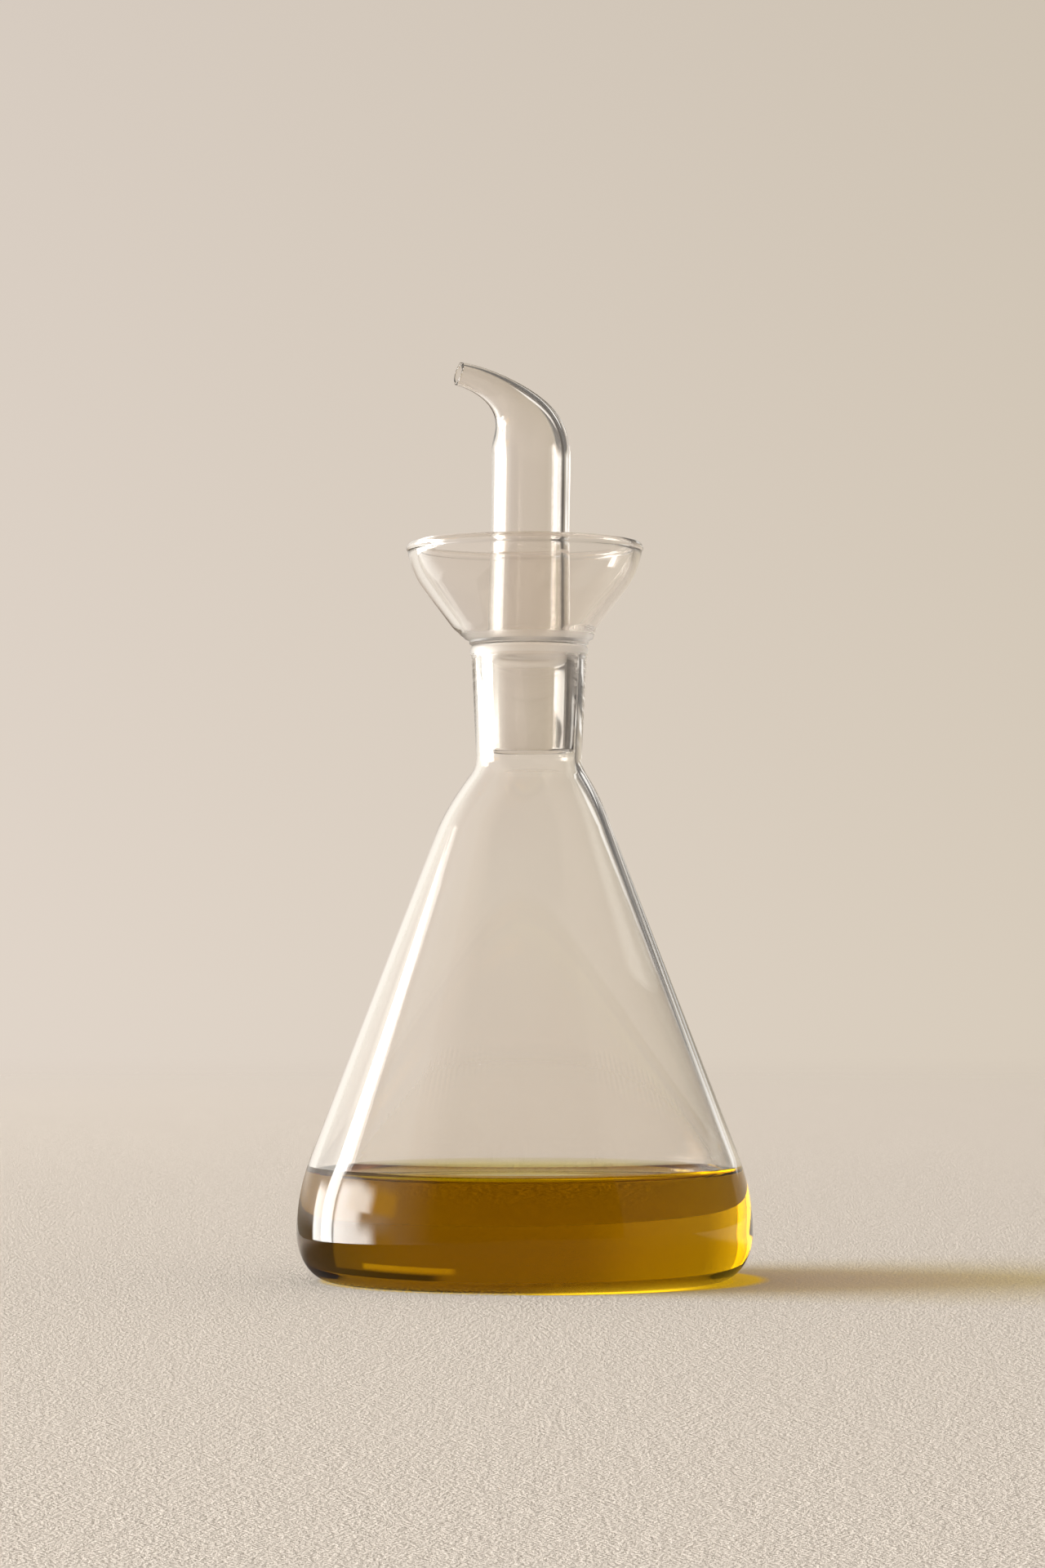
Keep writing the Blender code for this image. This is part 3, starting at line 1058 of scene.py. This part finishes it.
@dataclass(frozen=True)
class OliveOil:
    """Golden olive oil: clear, with colour that deepens with the way through it."""

    name: str
    surface: DrawnSurface
    ior: float = 1.467
    glass_ior: float = 1.003     # of oil against glass
    tint: Colour = (1.0, 0.99, 0.96)
    cloudy_tint: Colour = (1.0, 0.97, 0.86)
    cloud_scale: float = 70.0
    cloud_detail: float = 3.0
    cloud_ends: Point = (0.4, 0.75)      # of the noise, from clear to cloudy
    wetted_from: float = 0.02            # share of the wetted mark
    wave_scale: float = 25.0
    wave_height: float = 0.000004
    absorbed: Colour = (0.950, 0.918, 0.0)
    density: float = 300.0

    def liquid(self, tree: Tree, ior: float) -> bpy.types.NodeSocket:
        """One Principled shader of the oil.

        Args:
            tree: The material's tree.
            ior: Index against what lies outside.

        Returns:
            The shader.
        """
        clouds = tree.noise(tree.place(), self.cloud_scale, self.cloud_detail)
        cloud = tree.ramp(clouds, *self.cloud_ends)
        shader = tree.add("ShaderNodeBsdfPrincipled")
        tree.fill(shader, Base_Color=tree.mix(cloud, self.tint, self.cloudy_tint),
                  Roughness=0.0, Metallic=0.0, IOR=ior, Transmission_Weight=1.0,
                  Normal=self.surface.normal(tree, self.wave_scale, self.wave_height))
        return shader.outputs[0]

    def material(self) -> bpy.types.Material:
        """Build the material: its free surface bends light, its wetted side does not.

        Returns:
            The new material.
        """
        material, tree, output = start_material(self.name)
        wetted = tree.add("ShaderNodeAttribute", attribute_name=WETTED).outputs["Fac"]
        body = tree.choose(tree.math("GREATER_THAN", wetted, self.wetted_from),
                           self.liquid(tree, self.ior), self.liquid(tree, self.glass_ior))
        absorption = tree.add("ShaderNodeVolumeAbsorption")
        tree.fill(absorption, Color=self.absorbed, Density=self.density)
        tree.fill(output, Surface=tree.pass_lamps(body), Volume=absorption.outputs[0])
        return material


class Rays(Enum):
    """Which rays from the glass a panel shows to."""

    MIRRORED = "mirrored by an outer face"
    THROUGH = "seen through the glass"
    BOTH = "both"


class Wall(Enum):
    """How a panel's place is given."""

    ROUND = "degrees to the left of straight ahead, and degrees above level"
    LEFT = "on a wall to the left, how far ahead and how high, for each metre to the left"


@dataclass(frozen=True)
class Panel:
    """Something bright or dark that the glass shows, by where it stands round the cruet."""

    start: float
    end: float
    low: float
    high: float
    glow: Colour
    edge: float
    wall: Wall = Wall.LEFT
    rays: Rays = Rays.BOTH
    fade: float = 0.001          # how far above its low edge it is full


@dataclass(frozen=True)
class Surroundings:
    """What the glass shows: a plain backdrop, soft lights to the left, dark elsewhere."""

    turn: float
    backdrop_left: Colour = (0.789, 0.702, 0.634)
    backdrop_right: Colour = (0.642, 0.562, 0.447)
    side_blend: float = 16.0     # degrees each way over which the backdrop changes
    upper_height: float = 13.0
    upper_share: float = 0.905
    ambient: Colour = (0.44, 0.40, 0.36)
    seam: float = -130.0         # heading under which the count goes on past 180
    least_left: float = 0.001    # keeps the walls' places finite
    panels: tuple[Panel, ...] = (
        # The right side dims with the turn, apart from two pale strips.
        Panel(-29.0, -60.0, -30.0, 60.0, (0.40, 0.35, 0.29), 24.0, Wall.ROUND),
        Panel(-14.0, -60.0, 7.6, 60.0, (0.16, 0.15, 0.14), 4.0, Wall.ROUND, fade=1.0),
        Panel(-11.0, -31.0, 5.2, 7.4, (1.25, 1.22, 1.17), 1.6, Wall.ROUND, fade=0.6),
        Panel(-11.0, -31.0, 13.2, 19.0, (1.25, 1.22, 1.17), 2.0, Wall.ROUND, fade=0.8),
        Panel(-42.0, -140.0, -30.0, 60.0, (0.14, 0.125, 0.11), 2.0, Wall.ROUND),
        # Ahead and to the left it brightens, and the oil's side mirrors it dimly.
        Panel(14.0, 66.0, -30.0, 34.0, (1.03, 0.97, 0.88), 14.0, Wall.ROUND),
        Panel(44.0, 66.0, -30.0, 14.0, (1.85, 1.80, 1.70), 16.0, Wall.ROUND),
        Panel(8.0, 50.0, -30.0, 0.5, (0.32, 0.25, 0.18), 6.0, Wall.ROUND, Rays.MIRRORED),
        # In front it is dark.
        Panel(122.0, 250.0, 0.0, 80.0, (0.02, 0.017, 0.014), 30.0, Wall.ROUND,
              Rays.THROUGH, 25.0),
        Panel(122.0, 250.0, -8.0, 80.0, (0.02, 0.017, 0.014), 30.0, Wall.ROUND,
              Rays.MIRRORED, 6.0),
        # Nearest the front, a broad weak glow that is warm at its edges.
        Panel(-0.30, 0.25, -0.12, 1.50, (0.90, 0.87, 0.83), 0.10),
        Panel(-0.30, 0.25, -0.12, 0.24, (1.8, 1.75, 1.65), 0.25),
        Panel(-0.40, 0.20, -0.12, 0.03, (1.3, 0.75, 0.25), 0.20, rays=Rays.MIRRORED),
        Panel(-0.38, 0.00, 0.10, 0.34, (3.0, 1.7, 0.42), 0.12, rays=Rays.MIRRORED, fade=0.08),
        # The low fill light, wider near its foot and near its top.
        Panel(0.04, 0.395, -0.12, 0.30, (13.0, 12.8, 12.4), 0.14),
        Panel(-0.13, 0.395, -0.12, 0.03, (13.0, 12.8, 12.4), 0.16, rays=Rays.MIRRORED),
        Panel(-0.08, 0.22, 0.12, 0.30, (12.0, 11.6, 10.8), 0.14, rays=Rays.MIRRORED, fade=0.03),
        # The tall key light, its halo, and the gap between the two lights.
        Panel(0.62, 0.80, -0.12, 0.51, (2.2, 2.15, 2.0), 0.16),
        Panel(0.425, 0.94, -0.12, 0.20, (8.0, 7.8, 7.4), 0.10, rays=Rays.MIRRORED),
        Panel(0.425, 0.66, -0.12, 0.51, (13.0, 12.8, 12.4), 0.05, rays=Rays.MIRRORED),
        Panel(0.425, 0.66, -0.12, 0.51, (5.5, 5.2, 4.9), 0.05, rays=Rays.THROUGH),
        Panel(0.395, 0.425, -0.12, 0.51, (4.5, 4.4, 4.2), 0.01),
    )

    @staticmethod
    def panel_group() -> bpy.types.NodeTree:
        """Group that is 1 inside a range across and a range up, with soft edges.

        Returns:
            The group.
        """
        names = ("Across", "Up", "Middle", "Half Width", "Low", "Full", "High", "Edge")
        group, tree, given, mask = shader_group(
            "studio panel", [(name, 0.0) for name in names], "Mask")
        away = tree.math("ABSOLUTE", tree.math("SUBTRACT", given["Across"], given["Middle"]))
        half_edge = tree.math("MULTIPLY", given["Edge"], 0.5)
        across, under = (
            tree.ramp(value, tree.math("SUBTRACT", given[limit], half_edge),
                      tree.math("ADD", given[limit], half_edge), 1.0, 0.0)
            for value, limit in ((away, "Half Width"), (given["Up"], "High")))
        over = tree.ramp(given["Up"], given["Low"], given["Full"])
        tree.put(tree.math("MULTIPLY", tree.math("MULTIPLY", across, under), over), mask)
        return group

    def build(self) -> None:
        """Make the world: backdrop, panels for the glass, and even fill for the rest."""
        world = bpy.data.worlds.new("studio")
        bpy.context.scene.world = world
        world.use_nodes = True
        world.node_tree.nodes.clear()
        tree = Tree(world.node_tree)
        direction = tree.add("ShaderNodeTexCoord").outputs["Generated"]
        right, ahead, up = tree.split(tree.turned(direction, -self.turn))
        left = tree.math("MULTIPLY", right, -1.0)
        heading = tree.math("DEGREES", tree.math("ARCTAN2", left, ahead))
        height = tree.math("DEGREES", tree.math("ARCSINE", up))
        full_heading = tree.math("ADD", heading, tree.math(
            "MULTIPLY", tree.math("LESS_THAN", heading, self.seam), FULL_TURN))
        beside = tree.math("MAXIMUM", left, self.least_left)
        places = {Wall.ROUND: (full_heading, height),
                  Wall.LEFT: (tree.math("DIVIDE", ahead, beside),
                              tree.math("DIVIDE", up, beside))}

        side = tree.ramp(heading, -self.side_blend, self.side_blend, smooth=False)
        scaled = tree.add("ShaderNodeVectorMath", operation="SCALE")
        tree.put(tree.mix(side, self.backdrop_right, self.backdrop_left), scaled.inputs[0])
        tree.fill(scaled, Scale=tree.ramp(height, 0.0, self.upper_height, 1.0,
                                          self.upper_share, smooth=False))
        backdrop = scaled.outputs[0]

        group = self.panel_group()
        colours = {Rays.MIRRORED: backdrop, Rays.THROUGH: backdrop}
        for panel in self.panels:
            across, above = places[panel.wall]
            mask = tree.add("ShaderNodeGroup", node_tree=group)
            tree.fill(mask, Across=across, Up=above, Middle=0.5 * (panel.start + panel.end),
                      Half_Width=0.5 * abs(panel.end - panel.start), Low=panel.low,
                      Full=panel.low + panel.fade, High=panel.high, Edge=panel.edge)
            for rays in colours:
                if panel.rays in (rays, Rays.BOTH):
                    colours[rays] = tree.mix(mask.outputs[0], colours[rays], panel.glow)

        light = tree.add("ShaderNodeLightPath").outputs
        shown = tree.fill(tree.add("ShaderNodeBackground"), Color=self.ambient).outputs[0]
        for ray, colour in (("Is Glossy Ray", colours[Rays.MIRRORED]),
                            ("Is Transmission Ray", colours[Rays.THROUGH]),
                            ("Is Camera Ray", backdrop)):
            seen = tree.fill(tree.add("ShaderNodeBackground"), Color=colour).outputs[0]
            shown = tree.choose(light[ray], shown, seen)
        tree.put(shown, tree.add("ShaderNodeOutputWorld").inputs["Surface"])


@dataclass(frozen=True)
class Disc:
    """A soft-edged disc on the floor."""

    centre: tuple[float, float, float]
    full: float
    edge: float

    def mask(self, tree: Tree, place: bpy.types.NodeSocket) -> bpy.types.NodeSocket:
        """Mask that is 1 inside the disc, for a place on the floor.

        Args:
            tree: The floor material's tree.
            place: Place on the floor.

        Returns:
            The mask.
        """
        node = tree.add("ShaderNodeVectorMath", operation="DISTANCE")
        tree.put(place, node.inputs[0])
        tree.put(self.centre, node.inputs[1])
        return tree.ramp(node.outputs["Value"], self.full, self.edge, 1.0, 0.0)


@dataclass(frozen=True)
class SandedFloor:
    """Pale sanded plaster, with painted caustic light from the oil in gold round the oil's base,
    which fades out far off.
    """

    turn: float
    radius: float = 3.2
    segments: int = 96
    below: float = 0.00002       # the cruet's base, so that the two don't share a plane
    hollow_tone: Colour = (0.66, 0.605, 0.54)
    raised_tone: Colour = (0.88, 0.825, 0.76)
    roughness: float = 0.9
    gloss: float = 0.1
    grain_scale: float = 1700.0
    grain_detail: float = 3.0
    grain_harshness: float = 0.65
    grain_share: float = 0.7
    lump_scale: float = 420.0
    lump_share: float = 0.5
    relief: float = 0.0008
    relief_strength: float = 0.9
    fleck_ends: Point = (0.3, 0.7)       # of the grain, from hollow to raised
    grain_ends: Point = (0.2, 1.6)       # distances over which the grain fades
    far_tone: float = 0.72       # share of the raised tone once the grain has faded; it is above the grain's mean, so it is also painted light that brightens the floor far off
    floor_ends: Point = (0.5, 2.6)       # distances over which the floor fades
    # Painted caustic: round the base, the floor's colour turns to this gold and glows, standing in
    # for light focused through the oil.
    painted_caustic_tone: Colour = (0.60, 0.42, 0.02)
    painted_caustic_glow: Colour = (0.62, 0.38, 0.01)
    painted_caustic_gain: float = 2.0       # how soon the floor's own tone turns to the gold of the painted caustic
    # Discs, strengths and painted sparkles of the painted caustic.
    wide_disc: Disc = Disc((0.0060, 0.003, 0.0), 0.0370, 0.0405)
    heel_disc: Disc = Disc((0.0010, 0.0, 0.0), 0.0375, 0.0400)
    base_disc: Disc = Disc((0.0, 0.0, 0.0), 0.0347, 0.0354)
    wide_glow: float = 0.45
    sparkle: float = 1.1
    sparkle_ends: Point = (0.46, 0.62)   # of the grain
    right_start: Point = (-0.006, 0.014)
    right_end: Point = (0.022, 0.036)
    right_glow: Point = (2.1, 0.5)       # before the right end, and past it
    # Seen through the glass, the painted caustic glows half as bright.
    seen_through_share: float = 0.5
    # Painted shade: for rays from the glass, the floor in front takes this dark colour.
    mirrored_painted_shade: Colour = (0.12, 0.11, 0.10)
    front_ends: Point = (0.0, 0.06)      # how far ahead of the axis the dimming ends
    near_front_ends: Point = (-0.055, -0.04)
    near_front_share: float = 0.45
    light_side: float = -0.10    # left of here the glass sees the lights, not the floor

    def painted_oil_caustic(self, tree: Tree, place: bpy.types.NodeSocket,
                 grain: bpy.types.NodeSocket) -> bpy.types.NodeSocket:
        """Where light that came through the oil falls on the floor round the base, as a painted
        caustic.

        Args:
            tree: The floor material's tree.
            place: Place on the floor, turned so that +Y is straight ahead.
            grain: The floor's grain.

        Returns:
            How much of that light falls there.
        """
        wide, heel, base = (disc.mask(tree, place)
                            for disc in (self.wide_disc, self.heel_disc, self.base_disc))
        across = tree.split(place)[0]
        right = tree.math("MULTIPLY", tree.ramp(across, *self.right_start),
                          tree.ramp(across, *self.right_end, *self.right_glow))
        sparkles = tree.math("MULTIPLY", tree.ramp(grain, *self.sparkle_ends), self.sparkle)
        ring = tree.math("SUBTRACT", heel, base, clamp=True)
        return tree.math("MAXIMUM", tree.math("MULTIPLY", wide, self.wide_glow),
                         tree.math("MULTIPLY", ring, tree.math("MAXIMUM", sparkles, right)))

    def dimmed(self, tree: Tree, ahead: bpy.types.NodeSocket) -> bpy.types.NodeSocket:
        """How far the floor in front is dimmed where the glass mirrors it or looks through to it:
        painted shade that only the glass shows.

        Args:
            tree: The floor material's tree.
            ahead: How far ahead of the cruet's axis a place is.

        Returns:
            A share from 0 to 1.
        """
        light = tree.add("ShaderNodeLightPath").outputs
        mirrored = tree.math("SUBTRACT", light["Is Glossy Ray"], light["Is Transmission Ray"],
                             clamp=True)
        in_front = tree.ramp(ahead, *self.front_ends, 1.0, 0.0)
        well_in_front = tree.ramp(ahead, *self.near_front_ends, self.near_front_share, 0.0)
        return tree.math("MAXIMUM",
                         tree.math("MULTIPLY", light["Is Glossy Ray"], well_in_front),
                         tree.math("MULTIPLY", mirrored, in_front))

    def material(self) -> bpy.types.Material:
        """Build the material. The glass sees the lights at the left, not the floor there.

        Returns:
            The new material.
        """
        material, tree, output = start_material("sanded floor")
        place = tree.place()
        turned = tree.turned(place, -self.turn)
        across, ahead, _ = tree.split(turned)
        length = tree.add("ShaderNodeVectorMath", operation="LENGTH")
        tree.put(place, length.inputs[0])
        away = length.outputs["Value"]
        grain = tree.noise(place, self.grain_scale, self.grain_detail, self.grain_harshness)
        lumps = tree.noise(place, self.lump_scale)
        height = tree.math("ADD", tree.math("MULTIPLY", grain, self.grain_share),
                           tree.math("MULTIPLY", lumps, self.lump_share))
        near = tree.ramp(away, *self.grain_ends, 1.0, 0.0)
        flecks = tree.math("MULTIPLY", tree.ramp(grain, *self.fleck_ends), near)
        fleck = tree.math("ADD", flecks,
                          tree.ramp(away, *self.grain_ends, 0.0, self.far_tone))
        # Painted caustic light: the floor turns gold and glows round the oil's base.
        glow = self.painted_oil_caustic(tree, turned, grain)
        tone = tree.mix(tree.math("MULTIPLY", glow, self.painted_caustic_gain, clamp=True),
                        tree.mix(fleck, self.hollow_tone, self.raised_tone), self.painted_caustic_tone)
        light = tree.add("ShaderNodeLightPath").outputs
        share_shown = tree.math("SUBTRACT", 1.0, tree.math(
            "MULTIPLY", light["Is Transmission Ray"], self.seen_through_share))
        plaster = tree.add("ShaderNodeBsdfPrincipled")
        tree.fill(plaster, Roughness=self.roughness, Specular_IOR_Level=self.gloss,
                  Base_Color=tree.mix(self.dimmed(tree, ahead), tone, self.mirrored_painted_shade),
                  Emission_Color=self.painted_caustic_glow,
                  Emission_Strength=tree.math("MULTIPLY", glow, share_shown),
                  Normal=tree.bump(height, tree.math("MULTIPLY", near, self.relief_strength),
                                   self.relief))
        cut = tree.math("MULTIPLY", tree.math("LESS_THAN", across, self.light_side),
                        light["Is Glossy Ray"])
        gone = tree.add("ShaderNodeBsdfTransparent").outputs[0]
        fade = tree.math("MAXIMUM", tree.ramp(away, *self.floor_ends), cut)
        tree.fill(output, Surface=tree.choose(fade, plaster.outputs[0], gone))
        return material

    def build(self) -> bpy.types.Object:
        """Make the floor that the cruet stands on.

        Returns:
            The floor's object.
        """
        disc = bmesh.new()
        bmesh.ops.create_circle(disc, cap_ends=True, segments=self.segments,
                                radius=self.radius)
        mesh = bpy.data.meshes.new("floor")
        disc.to_mesh(mesh)
        disc.free()
        floor = bpy.data.objects.new("floor", mesh)
        floor.location.z = -self.below
        bpy.context.scene.collection.objects.link(floor)
        mesh.materials.append(self.material())
        return floor


@dataclass(frozen=True)
class SoftLamp:
    """A soft lamp that lights the floor, and that the glass doesn't mirror."""

    turn: float
    name: str = "key_lamp"
    heading: float = 91.0        # degrees to the left of straight ahead
    height: float = 10.0         # degrees above level
    away: float = 5.0
    size: Point = (3.6, 1.4)
    power: float = 750.0
    tint: Colour = (1.0, 0.965, 0.92)

    def build(self) -> bpy.types.Object:
        """Hang the lamp, facing the cruet.

        Returns:
            The lamp's object.
        """
        light = bpy.data.lights.new(self.name, "AREA")
        light.shape = "RECTANGLE"
        light.size, light.size_y = self.size
        light.energy = self.power
        light.color = self.tint
        lamp = bpy.data.objects.new(self.name, light)
        angle = math.radians(90.0 + self.turn + self.heading)
        up = math.radians(self.height)
        lamp.location = Vector((math.cos(angle) * math.cos(up),
                                math.sin(angle) * math.cos(up), math.sin(up))) * self.away
        lamp.rotation_euler = (-lamp.location).to_track_quat("-Z", "Y").to_euler()
        bpy.context.scene.collection.objects.link(lamp)
        lamp.visible_camera = False
        lamp.visible_glossy = False
        lamp.visible_transmission = False
        return lamp


@dataclass(frozen=True)
class Viewpoint:
    """The camera, at the angle that shows the cruet from just above its base."""

    heading: float
    yaw: float = 0.0295
    pitch: float = 2.62
    away: float = 0.814
    height: float = 0.0552
    lens: float = 100.0
    sensor: float = 36.0
    clip: Point = (0.01, 50.0)

    def build(self) -> bpy.types.Object:
        """Make the camera and set it as the scene's own.

        Returns:
            The camera's object.
        """
        lens = bpy.data.cameras.new("camera")
        lens.lens = self.lens
        lens.sensor_width = self.sensor
        lens.clip_start, lens.clip_end = self.clip
        camera = bpy.data.objects.new("camera", lens)
        turn = math.radians(self.heading)
        camera.location = (self.away * math.sin(turn), -self.away * math.cos(turn),
                           self.height)
        camera.rotation_euler = (math.radians(90.0 + self.pitch), 0.0,
                                 math.radians(self.heading + self.yaw))
        bpy.context.scene.collection.objects.link(camera)
        bpy.context.scene.camera = camera
        return camera


def set_rendering() -> None:
    """Set how colours are shown and how far light is followed through the glass."""
    scene = bpy.context.scene
    scene.view_settings.view_transform = "Standard"
    scene.view_settings.look = "None"
    cycles = scene.cycles
    cycles.max_bounces = 40
    cycles.transmission_bounces = 36
    cycles.glossy_bounces = 16
    cycles.transparent_max_bounces = 32
    cycles.diffuse_bounces = 3
    cycles.blur_glossy = 0.0
    cycles.caustics_refractive = False
    cycles.caustics_reflective = False


def main() -> None:
    """Build the camera, the cruet and its surroundings."""
    logging.basicConfig(level=logging.INFO, format="%(name)s: %(message)s")
    Viewpoint(FACING).build()
    surface = DrawnSurface()
    oil_level = OilLevel()
    flask = Flask()
    dry = BlownGlass("flask glass", surface)
    wet = BlownGlass("flask glass under oil", surface, ior=1.003)
    drawn = BlownGlass("pourer glass", surface, wave_height=0.000008,
                       tint=(0.965, 0.945, 0.92), deep_tint=(0.95, 0.925, 0.90))
    pieces = (flask.build(oil_level, dry, wet),
              Pourer(flask).build(drawn),
              OilFill(flask, oil_level).build(OliveOil("olive oil", surface)))
    for piece in pieces:
        log.info("%s: %d faces", piece.name, len(piece.data.polygons))
    Surroundings(FACING).build()
    SandedFloor(FACING).build()
    SoftLamp(FACING).build()
    set_rendering()


if __name__ == "__main__":
    main()
